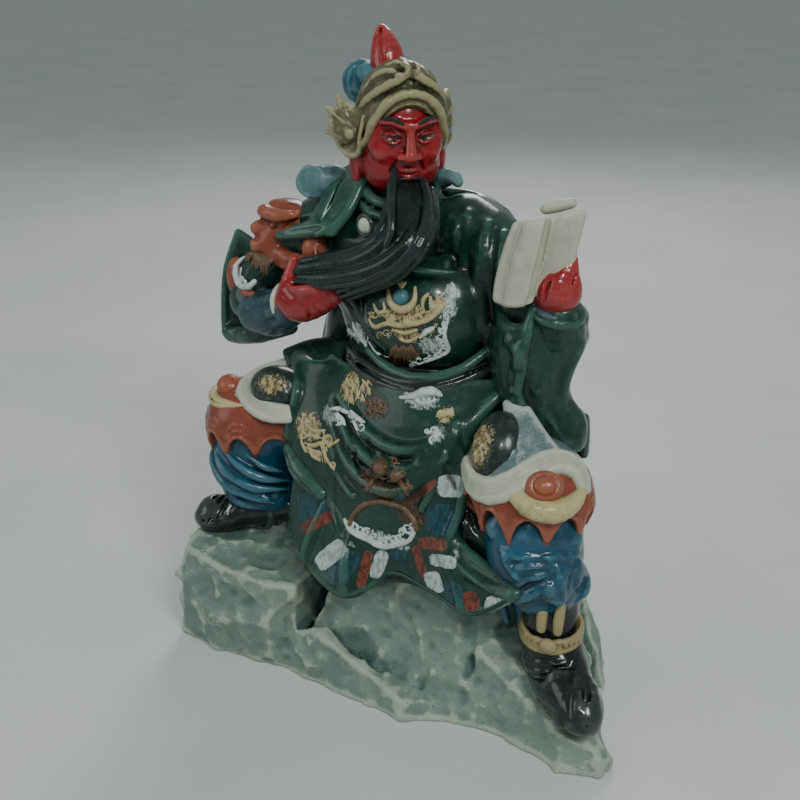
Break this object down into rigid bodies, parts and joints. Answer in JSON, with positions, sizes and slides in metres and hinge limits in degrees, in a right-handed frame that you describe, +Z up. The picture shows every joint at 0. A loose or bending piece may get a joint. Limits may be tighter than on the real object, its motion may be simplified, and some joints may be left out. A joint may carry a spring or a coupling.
{
  "type": "seated warrior statue",
  "caption": "Painted cast statue of a bearded, robed warrior in armour, seated on a rock with an open book in one hand and his beard in the other.",
  "frame": {"origin": "middle of the flat underside", "axes": "+Z up; the front edge of the rock faces -Y, so the figure looks out over -Y with the head turned towards +X"},
  "size_m": [0.201, 0.123, 0.258],
  "materials": {
    "paint": "glossy hand-painted casting: deep green robe, grey-green rock, red, blue, cream and dull gold details"
  },
  "bodies": {
    "root": {"statue": "paint"}
  },
  "joints": []
}
